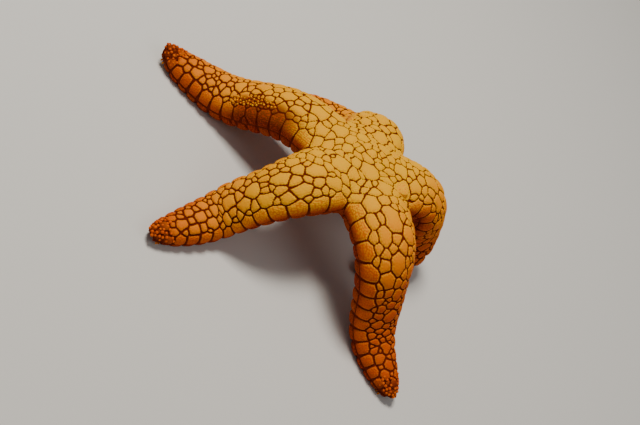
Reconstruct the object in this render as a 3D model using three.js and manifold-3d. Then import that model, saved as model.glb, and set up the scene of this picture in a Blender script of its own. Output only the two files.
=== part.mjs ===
// A five-armed sea star (Fromia indica), life size, in millimetres, +Z up.
// Its disc is arched up off the floor and its arms come down to it. Arms A, B and C
// reach forward and rest on flats along their outer halves. Arms D and E drop steeply
// behind the disc and curl sideways.
//
// The body is first described flat and five-fold symmetric: x runs out along an arm, y
// across it, z up. Each arm is then bent along its own path, and the body is parted by
// thin cuts between marginal plates.
import * as THREE from 'three';
import { mergeVertices } from 'three/addons/utils/BufferGeometryUtils.js';
import Module from 'manifold-3d';

const wasm = await Module();
wasm.setup();

// ---------------------------------------------------------------- driving dimensions
const ARM_REACH = 40;            // disc centre to arm tip, along a straight arm
const DEG = Math.PI / 180;
const SECTOR = 36 * DEG;         // half the angle between two arms

const BODY = {
  halfWidth: [0.167 * ARM_REACH, 0.088 * ARM_REACH],   // of an arm, at the disc and at the tip
  halfHeight: [0.100 * ARM_REACH, 0.076 * ARM_REACH],  // from the widest line to the top
  underShare: 0.80,              // depth below the widest line, as a share of halfHeight
  underFill: 1.6,                // the larger, the flatter the underside
  tipPower: 6.8,                 // the larger, the blunter the tip
  webbing: 6.1,                  // the smaller, the wider the web between arms
};
const BLUNT = 0.002 * ARM_REACH; // the small flat left on each tip

const GROOVE = { halfWidth: 1.1, depth: 1.5, share: 0.35 };   // under each arm, narrower near its tip
const HOLLOW_LIMIT = 0.55;       // the most that groove and mouth take of the underside's depth
const MOUTH = { radius: 3.2, depth: 1.6 };             // where the grooves meet
const MARGINALS = { count: 15, crowding: 1.2, furrow: 0.055 };  // plates along each side
const CUTS = { disc: 2, base: 6, middle: 10, outer: 14 };       // plates from the notch to a cut
const GAP = 0.1;                 // between two lengths of an arm
const FLOOR_TRIM = 0.2;          // how far the arms are pared flat where they rest

// The sieve plate, halfway between two arms.
const MADREPORITE = {
  radius: 1.3, height: 0.45, sink: 0.5, seated: 0.15, distance: 7.3, afterArm: 2, sides: 20,
};
const SEAT_GAP = 0.1;

// The disc is tilted down towards one side. Its rings are shares of the way to the notch.
const DISC = { height: 13.5, tilt: 10.1, tiltTowards: 164.1, rings: [0, 0.3, 0.6, 0.82, 0.94, 1] };
const AZIMUTH_A = 178.2;         // direction of arm A, degrees from +X
const PLACE = { x: 3.43, y: 6.09 };  // where the disc's centre stands

// How each arm leaves the disc's plane, by its free length from the notch (0) to the tip (1):
// the droop grows until bent, eases from landing and is gone at landed. sweep is the turn in
// plan over its inner, middle and outer part, and lift the upturn of its tip, in degrees.
const ARMS = [
  {
    name: 'a', length: 1.04, width: 1.04, bent: 0.36, landing: 0.39, landed: 0.77,
    sweep: [11.4, 2.8, -1.2], lift: 29.6,
  },
  {
    name: 'b', length: 0.99, width: 0.91, bent: 0.35, landing: 0.50, landed: 0.71,
    sweep: [-23.2, 27.7, -9.8], lift: 13.0,
  },
  {
    name: 'c', length: 1.04, width: 1.00, bent: 0.37, landing: 0.52, landed: 0.83,
    sweep: [27.6, -17.6, 3.5], lift: 5.5,
  },
  {
    name: 'd', length: 0.87, width: 0.81, bent: 0.39, landing: 0.47, landed: 0.87,
    sweep: [-42.7, -92.7, -20.5], lift: 1.9,
  },
  {
    name: 'e', length: 0.90, width: 0.95, bent: 0.24, landing: 0.18, landed: 0.79,
    sweep: [38.6, 58.2, 40.0], lift: 3.3,
  },
];

const REACH_STEPS = 400;         // samples along a bent arm
const OUTLINE_STEPS = 300;       // samples along the flat outline
const BISECTIONS = 40;
const LIFT_FROM = 0.78;          // where the tip's upturn starts, from the notch (0) to the tip (1)
const TAPER_TO = 0.80;           // up to there a landed arm's underside lies level
const FULL_WIDTH_BY = 0.25 * ARM_REACH;  // past the notch, where an arm has its own width
const SWEEP_SPANS = [[0, 0.45], [0.3, 0.7], [0.6, 1]];

// ---------------------------------------------------------------- small helpers
const clamp = (v, low, high) => Math.min(high, Math.max(low, v));
const mix = (a, b, t) => a + (b - a) * t;
function ease(t) {
  const c = clamp(t, 0, 1);
  return c * c * (3 - 2 * c);
}
function bisect(low, high, isLow) {
  for (let i = 0; i < BISECTIONS; i += 1) {
    const middle = (low + high) / 2;
    if (isLow(middle)) low = middle;
    else high = middle;
  }
  return (low + high) / 2;
}

// ---------------------------------------------------------------- the flat star
function tipRounding(reach) {
  const u = clamp(reach / ARM_REACH, 0, 1);
  return Math.sqrt(Math.max(1 - u ** BODY.tipPower, 1e-6));
}
const armHalfWidth = (r) => mix(...BODY.halfWidth, clamp(r / ARM_REACH, 0, 1)) * tipRounding(r);
const armHalfHeight = (r) => mix(...BODY.halfHeight, clamp(r / ARM_REACH, 0, 1)) * tipRounding(r);

// 0 on the star's outline, 1 along an arm's middle line, a little more on the disc.
function level(x, y) {
  const width = armHalfWidth(Math.hypot(x, y));
  let sum = 0;
  for (let k = 0; k < 5; k += 1) {
    const angle = 2 * SECTOR * k;
    const along = x * Math.cos(angle) + y * Math.sin(angle);
    const across = y * Math.cos(angle) - x * Math.sin(angle);
    const inside = 1 - (across ** 2 + Math.min(along, 0) ** 2) / width ** 2;
    sum += Math.exp(BODY.webbing * Math.max(inside, -3));
  }
  return Math.log(sum) / BODY.webbing;
}

const NOTCH_RADIUS = bisect(0.05 * ARM_REACH, 0.7 * ARM_REACH,
  (r) => level(r * Math.cos(SECTOR), r * Math.sin(SECTOR)) > 0);
const NOTCH = NOTCH_RADIUS * Math.cos(SECTOR);         // how far out along the arm that is

// Half the width at a distance along the arm: up to the neighbouring sector, then the outline.
function edge(along) {
  const sector = along * Math.tan(SECTOR);
  if (along <= NOTCH) return sector;
  return bisect(0, sector, (across) => level(along, across) > 0);
}

// Lengths along one side of an arm, from the notch, for spacing the marginal plates.
const outline = [{ along: NOTCH, length: 0 }];
for (let i = 1; i <= OUTLINE_STEPS; i += 1) {
  const along = mix(NOTCH, ARM_REACH, Math.sin((i / OUTLINE_STEPS) * Math.PI / 2));
  const last = outline[i - 1];
  const step = Math.hypot(along - last.along, edge(along) - edge(last.along));
  outline.push({ along, length: last.length + step });
}
// The distance along the arm of a place between marginal plates, such as 2.5 for the
// middle of the third plate.
function plateAlong(plate) {
  const share = 1 - (1 - plate / MARGINALS.count) ** MARGINALS.crowding;
  const length = outline[OUTLINE_STEPS].length * share;
  const i = clamp(outline.findIndex((p) => p.length >= length), 1, OUTLINE_STEPS);
  const [a, b] = [outline[i - 1], outline[i]];
  return mix(a.along, b.along, clamp((length - a.length) / (b.length - a.length), 0, 1));
}

// How full the body is at a place: 0 on its outline, and about 1 along its middle lines.
const fullness = (along, across) => Math.sqrt(Math.max(level(along, across) - 1e-6, 0));

// A point on top of the flat body. angle goes from one side (0) over the top to the other (PI).
function topPoint(along, halfWidth, angle, furrow) {
  const side = Math.abs(Math.cos(angle)) ** 6;
  const across = halfWidth * Math.cos(angle);
  const height = armHalfHeight(Math.hypot(along, across)) * fullness(along, across);
  return { along, across: across * (1 - furrow * side), up: height };
}
function underPoint(along, halfWidth, across, furrow) {
  const share = halfWidth > 0 ? Math.abs(across) / halfWidth : 0;
  const reach = Math.hypot(along, across);
  const inside = fullness(along, across);
  const depth = BODY.underShare * armHalfHeight(reach) * Math.min(1, BODY.underFill * inside);
  const groove = GROOVE.depth * Math.max(0, 1 - Math.abs(across) / GROOVE.halfWidth);
  const mouth = MOUTH.depth * ease(1 - reach / MOUTH.radius);
  const hollow = Math.min(groove + mouth, HOLLOW_LIMIT * depth);
  return { along, across: across * (1 - furrow * share ** 6), up: hollow - depth };
}

const TOP_ANGLES = [0, 12, 28, 48, 70, 90, 110, 132, 152, 168, 180].map((a) => a * DEG);
const UNDER_SHARES = [0.93, 0.7];
// One closed ring of points across the body, from its right edge over the top and back below.
function ring(along, furrow) {
  const halfWidth = edge(along);
  const lip = Math.min(GROOVE.halfWidth, GROOVE.share * halfWidth);
  const right = [...UNDER_SHARES.map((share) => share * halfWidth), lip];
  const under = [...right, 0, ...[...right].reverse().map((across) => -across)];
  return {
    top: TOP_ANGLES.map((angle) => topPoint(along, halfWidth, angle, furrow)),
    under: [halfWidth, ...under, -halfWidth].map((v) => underPoint(along, halfWidth, v, furrow)),
  };
}

// ---------------------------------------------------------------- the pose
const tiltAxis = new THREE.Vector3(
  -Math.sin(DISC.tiltTowards * DEG), Math.cos(DISC.tiltTowards * DEG), 0);
const discTurn = new THREE.Quaternion().setFromAxisAngle(tiltAxis, DISC.tilt * DEG);
const discCentre = new THREE.Vector3(0, 0, DISC.height);

// The arm's middle line beyond the notch, with the body's across and up directions there.
function bendArm(arm, index) {
  const azimuth = AZIMUTH_A * DEG + 2 * SECTOR * index;
  const out = new THREE.Vector3(Math.cos(azimuth), Math.sin(azimuth), 0).applyQuaternion(discTurn);
  const sideways = new THREE.Vector3(-Math.sin(azimuth), Math.cos(azimuth), 0).applyQuaternion(discTurn);
  const upright = new THREE.Vector3(0, 0, 1).applyQuaternion(discTurn);
  const start = discCentre.clone().addScaledVector(out, NOTCH);
  const heading = Math.atan2(out.y, out.x);
  const rise = Math.asin(out.z);
  const step = (ARM_REACH - NOTCH) / REACH_STEPS * arm.length;
  const depthAt = (u) => BODY.underShare * arm.width * armHalfHeight(mix(NOTCH, ARM_REACH, u));
  const levelPitch = (u) => {
    const before = Math.min(u, TAPER_TO) - 1 / REACH_STEPS;
    return Math.atan((depthAt(before + 2 / REACH_STEPS) - depthAt(before)) / (2 * step));
  };
  const turnAt = (u) => SWEEP_SPANS.reduce(
    (sum, [from, to], i) => sum + arm.sweep[i] * DEG * ease((u - from) / (to - from)), heading);
  const pitchAt = (u, droop) => {
    const landed = ease((u - arm.landing) / (arm.landed - arm.landing));
    const falling = mix(rise, -droop, ease(u / arm.bent));
    return mix(falling, levelPitch(u), landed) + arm.lift * DEG * ease((u - LIFT_FROM) / (1 - LIFT_FROM));
  };
  const lowest = (droop) => {
    let z = start.z;
    let low = z;
    for (let i = 0; i < REACH_STEPS; i += 1) {
      z += Math.sin(pitchAt((i + 0.5) / REACH_STEPS, droop)) * step;
      low = Math.min(low, z - depthAt((i + 1) / REACH_STEPS));
    }
    return low;
  };
  const droop = bisect(-0.2, 88 * DEG, (angle) => lowest(angle) > -FLOOR_TRIM);

  const places = [];
  const at = start.clone();
  let roll = 0;
  for (let i = 0; i <= REACH_STEPS; i += 1) {
    const u = i / REACH_STEPS;
    const pitch = pitchAt(u, droop);
    const turn = turnAt(u);
    const forward = new THREE.Vector3(
      Math.cos(pitch) * Math.cos(turn), Math.cos(pitch) * Math.sin(turn), Math.sin(pitch));
    const left = new THREE.Vector3(-Math.sin(turn), Math.cos(turn), 0);
    const up = new THREE.Vector3().crossVectors(forward, left);
    if (i === 0) roll = Math.atan2(sideways.dot(up), sideways.dot(left));
    const turned = roll * (1 - ease(u / arm.landed));
    places.push({
      at: at.clone(),
      across: left.clone().multiplyScalar(Math.cos(turned)).addScaledVector(up, Math.sin(turned)),
      up: up.multiplyScalar(Math.cos(turned)).addScaledVector(left, -Math.sin(turned)),
    });
    at.addScaledVector(forward, step);
  }
  return { out, sideways, upright, places };
}
const bends = ARMS.map(bendArm);

// Where a point of the flat body goes on the posed one.
function pose(index, { along, across, up }) {
  const bend = bends[index];
  if (along <= NOTCH) {
    return discCentre.clone().addScaledVector(bend.out, along)
      .addScaledVector(bend.sideways, across).addScaledVector(bend.upright, up);
  }
  const place = clamp((along - NOTCH) / (ARM_REACH - NOTCH), 0, 1) * REACH_STEPS;
  const i = Math.min(Math.floor(place), REACH_STEPS - 1);
  const [a, b] = [bend.places[i], bend.places[i + 1]];
  const t = place - i;
  const scale = mix(1, ARMS[index].width, ease((along - NOTCH) / FULL_WIDTH_BY));
  return a.at.clone().lerp(b.at, t)
    .addScaledVector(a.across.clone().lerp(b.across, t).normalize(), across * scale)
    .addScaledVector(a.up.clone().lerp(b.up, t).normalize(), up * scale);
}

// ---------------------------------------------------------------- closed meshes
class Faces {
  constructor() {
    this.positions = [];
  }

  triangle(a, b, c) {
    for (const p of [a, b, c]) this.positions.push(p.x, p.y, p.z);
  }

  quad(a, b, c, d) {
    this.triangle(a, b, c);
    this.triangle(a, c, d);
  }

  // Merged, with the slivers that merging leaves taken out.
  geometry() {
    const soup = new THREE.BufferGeometry();
    soup.setAttribute('position', new THREE.Float32BufferAttribute(this.positions, 3));
    const merged = mergeVertices(soup, 1e-3);
    const kept = [];
    const index = merged.index.array;
    for (let i = 0; i < index.length; i += 3) {
      const [a, b, c] = [index[i], index[i + 1], index[i + 2]];
      if (a !== b && b !== c && c !== a) kept.push(a, b, c);
    }
    merged.setIndex(kept);
    return merged;
  }
}

function solidOf(geometry) {
  return new wasm.Manifold(new wasm.Mesh({
    numProp: 3,
    vertProperties: new Float32Array(geometry.attributes.position.array),
    triVerts: new Uint32Array(geometry.index.array),
  }));
}
function geometryOf(solid) {
  const mesh = solid.getMesh();
  const geometry = new THREE.BufferGeometry();
  geometry.setAttribute('position', new THREE.Float32BufferAttribute(mesh.vertProperties, 3));
  geometry.setIndex([...mesh.triVerts]);
  geometry.computeVertexNormals();
  return geometry;
}

// Two rings to a marginal plate: one in the furrow before it, one on its crest.
function platePlaces(first, last) {
  const places = [];
  for (let plate = first; plate < last; plate += 1) {
    places.push({ along: plateAlong(plate), furrow: MARGINALS.furrow });
    places.push({ along: plateAlong(plate + 0.5), furrow: 0 });
  }
  places.push({ along: plateAlong(last), furrow: MARGINALS.furrow });
  return places;
}
function posedRing(index, { along, furrow }) {
  const { top, under } = ring(along, furrow);
  const centre = { along, across: 0, up: 0 };
  return {
    centre: pose(index, centre),
    top: top.map((point) => pose(index, point)),
    under: under.map((point) => pose(index, point)),
  };
}
function joinRings(faces, inner, outer) {
  for (const side of ['top', 'under']) {
    for (let j = 0; j < inner[side].length - 1; j += 1) {
      const corners = [inner[side][j], outer[side][j], outer[side][j + 1], inner[side][j + 1]];
      if (side === 'top') corners.reverse();
      faces.quad(...corners);
    }
  }
}
function addCap(faces, rim, facingOut) {
  const loop = [...rim.top, ...rim.under.slice(1, -1).reverse()];
  if (!facingOut) loop.reverse();
  loop.forEach((point, i) => faces.triangle(rim.centre, point, loop[(i + 1) % loop.length]));
}

// The disc: five sectors that meet halfway between the arms, with the roots of the arms.
function discGeometry() {
  const faces = new Faces();
  const inner = DISC.rings.map((share) => ({ along: NOTCH * share, furrow: 0 }));
  const roots = platePlaces(0, CUTS.disc).slice(1);
  const places = [...inner, ...roots];
  ARMS.forEach((_, index) => {
    const rings = places.map((place) => posedRing(index, place));
    for (let i = 1; i < rings.length; i += 1) joinRings(faces, rings[i - 1], rings[i]);
    addCap(faces, rings[rings.length - 1], true);
  });
  return faces.geometry();
}

// A length of one arm between two marginal plates.
function lengthGeometry(index, first, last) {
  const faces = new Faces();
  const places = platePlaces(first, last);
  places[0].along += GAP;
  const end = places[places.length - 1];
  end.along = Math.min(end.along, ARM_REACH - BLUNT);
  const rings = places.map((place) => posedRing(index, place));
  addCap(faces, rings[0], false);
  for (let i = 1; i < rings.length; i += 1) joinRings(faces, rings[i - 1], rings[i]);
  addCap(faces, rings[rings.length - 1], true);
  return faces.geometry();
}

// ---------------------------------------------------------------- the sieve plate
// It sits off the disc's centre, halfway between two arms, in a seat cut to its own outline.
function sievePlate(radius, sink) {
  const bearing = (AZIMUTH_A + MADREPORITE.afterArm * 72 + 36) * DEG;
  const height = armHalfHeight(MADREPORITE.distance)
    * fullness(MADREPORITE.distance * Math.cos(SECTOR), MADREPORITE.distance * Math.sin(SECTOR));
  const profile = [
    [0, -sink], [radius, -sink], [radius, 0.25 * MADREPORITE.height],
    [0.75 * radius, 0.8 * MADREPORITE.height],
    [0.35 * radius, MADREPORITE.height], [0, MADREPORITE.height],
  ];
  const lathe = new THREE.LatheGeometry(profile.map(([r, z]) => new THREE.Vector2(r, z)), MADREPORITE.sides);
  lathe.deleteAttribute('normal');
  lathe.deleteAttribute('uv');
  lathe.rotateX(Math.PI / 2);
  const faces = new Faces();
  const p = lathe.attributes.position;
  const corner = (i) => new THREE.Vector3().fromBufferAttribute(p, i);
  for (let i = 0; i < lathe.index.count; i += 3) {
    faces.triangle(...[0, 1, 2].map((j) => corner(lathe.index.getX(i + j))));
  }
  const geometry = faces.geometry();
  const out = MADREPORITE.distance;
  geometry.translate(out * Math.cos(bearing), out * Math.sin(bearing), height - MADREPORITE.seated);
  geometry.applyQuaternion(discTurn);
  geometry.translate(0, 0, DISC.height);
  return geometry;
}

// ---------------------------------------------------------------- the starfish
const starfish = new THREE.Group();
starfish.name = 'starfish';

// Each solid is cut off level with the floor, and set so that the whole star is centred.
function addPart(name, solid, material) {
  const standing = solid.trimByPlane([0, 0, 1], 0).translate(PLACE.x, PLACE.y, 0);
  const mesh = new THREE.Mesh(geometryOf(standing), material);
  mesh.name = name;
  starfish.add(mesh);
}
const material = (color, roughness) => new THREE.MeshStandardMaterial({ color, roughness, metalness: 0 });
const discColour = material(0xf0a01c, 0.55);
const armColour = material(0xe4821a, 0.55);
const tipColour = material(0x8f3410, 0.6);
const sieveColour = material(0xe8b496, 0.7);

const seat = solidOf(sievePlate(MADREPORITE.radius + SEAT_GAP, MADREPORITE.sink + SEAT_GAP));
addPart('disc', solidOf(discGeometry()).subtract(seat), discColour);
addPart('madreporite', solidOf(sievePlate(MADREPORITE.radius, MADREPORITE.sink)), sieveColour);
ARMS.forEach(({ name }, index) => {
  const lengths = [
    ['base', CUTS.disc, CUTS.base, armColour],
    ['middle', CUTS.base, CUTS.middle, armColour],
    ['outer', CUTS.middle, CUTS.outer, armColour],
    ['tip', CUTS.outer, MARGINALS.count, tipColour],
  ];
  for (const [part, first, last, colour] of lengths) {
    addPart(`arm_${name}_${part}`, solidOf(lengthGeometry(index, first, last)), colour);
  }
});

export default starfish;
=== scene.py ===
"""A sea star (Fromia indica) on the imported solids: one plated skin over the flesh, with its
sieve plate, the knobs of the arm tips, a patch of coarse granules, the spines beside the
grooves, the tube feet, the jaws' spines and the mouth.

The skin is made flat and five-fold symmetric, as the solids are, parted into plates, and
then bent along the same five paths. Lengths are in millimetres until a mesh is made.
"""
import math

import bpy
import numpy as np
from mathutils import Matrix


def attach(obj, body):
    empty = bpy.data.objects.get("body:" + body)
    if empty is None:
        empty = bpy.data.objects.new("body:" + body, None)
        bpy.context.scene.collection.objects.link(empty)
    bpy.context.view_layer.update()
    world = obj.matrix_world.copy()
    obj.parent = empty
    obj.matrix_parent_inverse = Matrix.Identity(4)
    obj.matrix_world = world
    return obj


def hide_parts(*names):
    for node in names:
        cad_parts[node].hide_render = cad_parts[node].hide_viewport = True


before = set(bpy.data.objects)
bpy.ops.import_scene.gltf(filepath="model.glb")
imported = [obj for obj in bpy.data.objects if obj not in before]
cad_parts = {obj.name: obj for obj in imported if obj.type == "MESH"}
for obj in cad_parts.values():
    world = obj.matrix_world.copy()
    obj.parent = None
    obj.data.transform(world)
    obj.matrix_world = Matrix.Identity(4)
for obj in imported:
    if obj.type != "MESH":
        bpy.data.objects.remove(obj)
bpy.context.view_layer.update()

MM = 0.001
SECTOR = math.radians(36)       # half of one arm's share of the disc
TINY = 1e-6

# ---------------------------------------------------------------- the solids' dimensions
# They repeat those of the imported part's own source, because this script can't read it.
REACH = 40.0                    # from the disc's centre to a tip, along a straight arm
HALF_WIDTH = (0.167 * REACH, 0.088 * REACH)   # of an arm, at the disc and at the tip
HALF_HEIGHT = (0.100 * REACH, 0.076 * REACH)  # from the widest line to the top
UNDER_SHARE = 0.80              # depth below the widest line, as a share of the half height
UNDER_FILL = 1.6                # the larger, the flatter the underside
TIP_POWER = 6.8                 # the larger, the blunter the tip
WEBBING = 6.1                   # the smaller, the wider the web between arms
GROOVE = {"half_width": 1.1, "depth": 1.5}
MOUTH = {"radius": 3.2, "depth": 1.6}
HOLLOW_LIMIT = 0.55             # the most that groove and mouth take of the underside's depth
MARGINALS = 15                  # plates along each side of an arm
CROWDING = 1.2                  # the larger, the closer they stand at the tip
SIEVE = {"radius": 1.3, "height": 0.45, "seated": 0.15, "distance": 7.3, "after_arm": 2}
DISC = {"height": 13.5, "tilt": 10.1, "tilt_towards": 164.1}
AZIMUTH_A = 178.2               # of arm a, in degrees
PLACE = (3.43, 6.09)            # where the disc's centre stands
# How each arm leaves the disc's plane, by its free length from the notch (0) to the tip (1):
# the droop grows until bent, eases from landing and is gone at landed. sweep is the turn in
# plan over its inner, middle and outer part, and lift the upturn of its tip, in degrees.
ARMS = [
    {"name": "a", "length": 1.04, "width": 1.04, "bent": 0.36, "landing": 0.39, "landed": 0.77,
     "sweep": (11.4, 2.8, -1.2), "lift": 29.6},
    {"name": "b", "length": 0.99, "width": 0.91, "bent": 0.35, "landing": 0.50, "landed": 0.71,
     "sweep": (-23.2, 27.7, -9.8), "lift": 13.0},
    {"name": "c", "length": 1.04, "width": 1.00, "bent": 0.37, "landing": 0.52, "landed": 0.83,
     "sweep": (27.6, -17.6, 3.5), "lift": 5.5},
    {"name": "d", "length": 0.87, "width": 0.81, "bent": 0.39, "landing": 0.47, "landed": 0.87,
     "sweep": (-42.7, -92.7, -20.5), "lift": 1.9},
    {"name": "e", "length": 0.90, "width": 0.95, "bent": 0.24, "landing": 0.18, "landed": 0.79,
     "sweep": (38.6, 58.2, 40.0), "lift": 3.3},
]
FLOOR_TRIM = 0.2                # how far the arms are pared flat where they rest
REACH_STEPS = 400               # samples along a bent arm
LIFT_FROM = 0.78                # where the tip's upturn starts
TAPER_TO = 0.80                 # up to there a landed arm's underside lies level
SWEEP_SPANS = ((0.0, 0.45), (0.3, 0.7), (0.6, 1.0))
FULL_WIDTH_BY = 0.25 * REACH    # past the notch, where an arm has its own width
DROOPS = (-0.2, math.radians(88))   # the least and the most that an arm may slope down
EDGE_SAMPLES = 301              # along the outline, to space the marginal plates
FAR_OUTSIDE = -3                # the least that level counts for one arm

# ---------------------------------------------------------------- the skin's own dimensions
ROW_STEP = 0.15                 # between rows of the skin's mesh, along an arm
BLUNT_END = 1.2                 # the last stretch of each arm has finer rows
BLUNT_ROWS = 16
TOP_COLUMNS = 120
UNDER_COLUMNS = 80
MAP_WIDTH = 105                 # millimetres of skin across the whole OFBake map, and up it
MAP_HEIGHT = 84
INSET = 0.22                    # the borders of plates lie this far inside the solids
TRENCH = 0.13                   # and the dark lines this much deeper
LINE_REACH = (0.15, 0.55, 0.97)   # shares of the reach: on the disc, mid-arm, at the tip
LINE_WIDTH = (0.08, 0.12, 0.17)   # half the dark line's width there
CROWN = {"least": 0.05, "by_size": 0.13, "outwards": 0.5, "power": 2.2}   # of plates' domes
UNEVEN = 0.04                   # slow bumps over the whole skin


def ease(t):
    t = np.clip(t, 0, 1)
    return t * t * (3 - 2 * t)


def mix(a, b, t):
    return a + (b - a) * t


def bisect(low, high, is_low):
    """Where is_low turns false, for arrays or numbers."""
    for _ in range(40):
        middle = (low + high) / 2
        below = is_low(middle)
        low = np.where(below, middle, low)
        high = np.where(below, high, middle)
    return (low + high) / 2


# ---------------------------------------------------------------- the flat star
def tip_rounding(reach):
    return np.sqrt(np.maximum(1 - np.clip(reach / REACH, 0, 1) ** TIP_POWER, TINY))


def arm_half_width(reach):
    return mix(*HALF_WIDTH, np.clip(reach / REACH, 0, 1)) * tip_rounding(reach)


def arm_half_height(reach):
    return mix(*HALF_HEIGHT, np.clip(reach / REACH, 0, 1)) * tip_rounding(reach)


def level(x, y):
    """0 on the outline, 1 along an arm's middle line, a little more on the disc."""
    width = arm_half_width(np.hypot(x, y))
    total = 0
    for k in range(5):
        angle = 2 * SECTOR * k
        along = x * math.cos(angle) + y * math.sin(angle)
        across = y * math.cos(angle) - x * math.sin(angle)
        within = 1 - (across ** 2 + np.minimum(along, 0) ** 2) / width ** 2
        total = total + np.exp(WEBBING * np.maximum(within, FAR_OUTSIDE))
    return np.log(total) / WEBBING


NOTCH_RADIUS = float(bisect(0.05 * REACH, 0.7 * REACH,
                            lambda r: level(r * math.cos(SECTOR), r * math.sin(SECTOR)) > 0))
NOTCH = NOTCH_RADIUS * math.cos(SECTOR)


def edge(along):
    """Half the width: up to the neighbouring sector, and past the notch up to the outline."""
    along = np.asarray(along, float)
    sector = along * math.tan(SECTOR)
    outline = bisect(np.zeros_like(along), sector, lambda across: level(along, across) > 0)
    return np.where(along <= NOTCH, sector, outline)


def fullness(along, across):
    return np.sqrt(np.maximum(level(along, across) - TINY, 0))


def top_height(along, across):
    return arm_half_height(np.hypot(along, across)) * fullness(along, across)


def under_height(along, across):
    reach = np.hypot(along, across)
    depth = UNDER_SHARE * arm_half_height(reach) * np.minimum(1, UNDER_FILL * fullness(along, across))
    groove = GROOVE["depth"] * np.maximum(0, 1 - np.abs(across) / GROOVE["half_width"])
    mouth = MOUTH["depth"] * ease(1 - reach / MOUTH["radius"])
    return np.minimum(groove + mouth, HOLLOW_LIMIT * depth) - depth


def ring_point(along, angle):
    """A point of the flat body: angle 0 is one side, pi/2 the top, pi the other side."""
    along, angle = np.broadcast_arrays(np.asarray(along, float), np.asarray(angle, float))
    across = edge(along) * np.cos(angle)
    up = np.where(np.sin(angle) >= 0, top_height(along, across), under_height(along, across))
    return np.stack([along, across, up], -1)


def plate_along(plate):
    """The distance along an arm of a place between marginal plates: 2.5 is the third's middle."""
    along = mix(NOTCH, REACH, np.sin(np.linspace(0, math.pi / 2, EDGE_SAMPLES)))
    side = edge(along)
    length = np.concatenate([[0], np.cumsum(np.hypot(np.diff(along), np.diff(side)))])
    share = 1 - (1 - np.asarray(plate, float) / MARGINALS) ** CROWDING
    return np.interp(share * length[-1], length, along)


def turned(points, sector):
    """Points of one arm, or directions, turned to the place of that arm on the flat star."""
    angle = 2 * SECTOR * sector
    c, s = math.cos(angle), math.sin(angle)
    x, y, z = points[..., 0], points[..., 1], points[..., 2]
    return np.stack([c * x - s * y, s * x + c * y, z], -1)


# ---------------------------------------------------------------- the pose
def direction(azimuth, height=0.0):
    return np.array([math.cos(azimuth), math.sin(azimuth), height])


TILT_TOWARDS = math.radians(DISC["tilt_towards"])
TILT_AXIS = (-math.sin(TILT_TOWARDS), math.cos(TILT_TOWARDS), 0)
DISC_TURN = np.array(Matrix.Rotation(math.radians(DISC["tilt"]), 3, TILT_AXIS))
DISC_CENTRE = np.array([*PLACE, DISC["height"]])


def bend_arm(index):
    """The arm's middle line past the notch, with the body's across and up directions there."""
    arm = ARMS[index]
    azimuth = math.radians(AZIMUTH_A) + 2 * SECTOR * index
    out = DISC_TURN @ direction(azimuth)
    sideways = DISC_TURN @ direction(azimuth + math.pi / 2)
    upright = DISC_TURN @ np.array([0, 0, 1.0])
    step = (REACH - NOTCH) / REACH_STEPS * arm["length"]

    def depth_at(u):
        return UNDER_SHARE * arm["width"] * arm_half_height(mix(NOTCH, REACH, u))

    def pitch_at(u, droop):
        before = np.minimum(u, TAPER_TO) - 1 / REACH_STEPS
        lying = np.arctan((depth_at(before + 2 / REACH_STEPS) - depth_at(before)) / (2 * step))
        landed = ease((u - arm["landing"]) / (arm["landed"] - arm["landing"]))
        falling = mix(math.asin(out[2]), -droop, ease(u / arm["bent"]))
        lift = math.radians(arm["lift"]) * ease((u - LIFT_FROM) / (1 - LIFT_FROM))
        return mix(falling, lying, landed) + lift

    u = np.arange(REACH_STEPS + 1) / REACH_STEPS
    middles = (np.arange(REACH_STEPS) + 0.5) / REACH_STEPS
    start = DISC_CENTRE + out * NOTCH

    def lowest(droop):
        z = start[2] + np.cumsum(np.sin(pitch_at(middles, droop)) * step)
        return min(start[2], float(np.min(z - depth_at(u[1:]))))

    droop = float(bisect(*DROOPS, lambda angle: lowest(angle) > -FLOOR_TRIM))
    pitch = pitch_at(u, droop)
    turn = np.full_like(u, math.atan2(out[1], out[0]))
    for (begin, end), sweep in zip(SWEEP_SPANS, arm["sweep"]):
        turn += math.radians(sweep) * ease((u - begin) / (end - begin))
    forward = np.stack([np.cos(pitch) * np.cos(turn), np.cos(pitch) * np.sin(turn), np.sin(pitch)], -1)
    left = np.stack([-np.sin(turn), np.cos(turn), 0 * turn], -1)
    up = np.cross(forward, left)
    roll = math.atan2(sideways @ up[0], sideways @ left[0]) * (1 - ease(u / arm["landed"]))[:, None]
    at = start + np.concatenate([np.zeros((1, 3)), np.cumsum(forward[:-1] * step, axis=0)])
    return {
        "out": out, "sideways": sideways, "upright": upright, "at": at, "u": u,
        "across": left * np.cos(roll) + up * np.sin(roll),
        "up": up * np.cos(roll) - left * np.sin(roll),
    }


BENDS = [bend_arm(index) for index in range(5)]


def pose(index, points):
    """Where points of arm index, in its own flat (along, across, up), go on the posed star."""
    bend = BENDS[index]
    along, across, up = points[..., 0:1], points[..., 1:2], points[..., 2:3]
    rigid = DISC_CENTRE + bend["out"] * along + bend["sideways"] * across + bend["upright"] * up
    u = np.clip((along[..., 0] - NOTCH) / (REACH - NOTCH), 0, 1)

    def sample(name):
        return np.stack([np.interp(u, bend["u"], bend[name][:, i]) for i in range(3)], -1)

    def unit(v):
        return v / np.linalg.norm(v, axis=-1, keepdims=True)

    scale = mix(1, ARMS[index]["width"], ease((along - NOTCH) / FULL_WIDTH_BY))
    bent = sample("at") + unit(sample("across")) * across * scale + unit(sample("up")) * up * scale
    return np.where(along <= NOTCH, rigid, bent)


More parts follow.
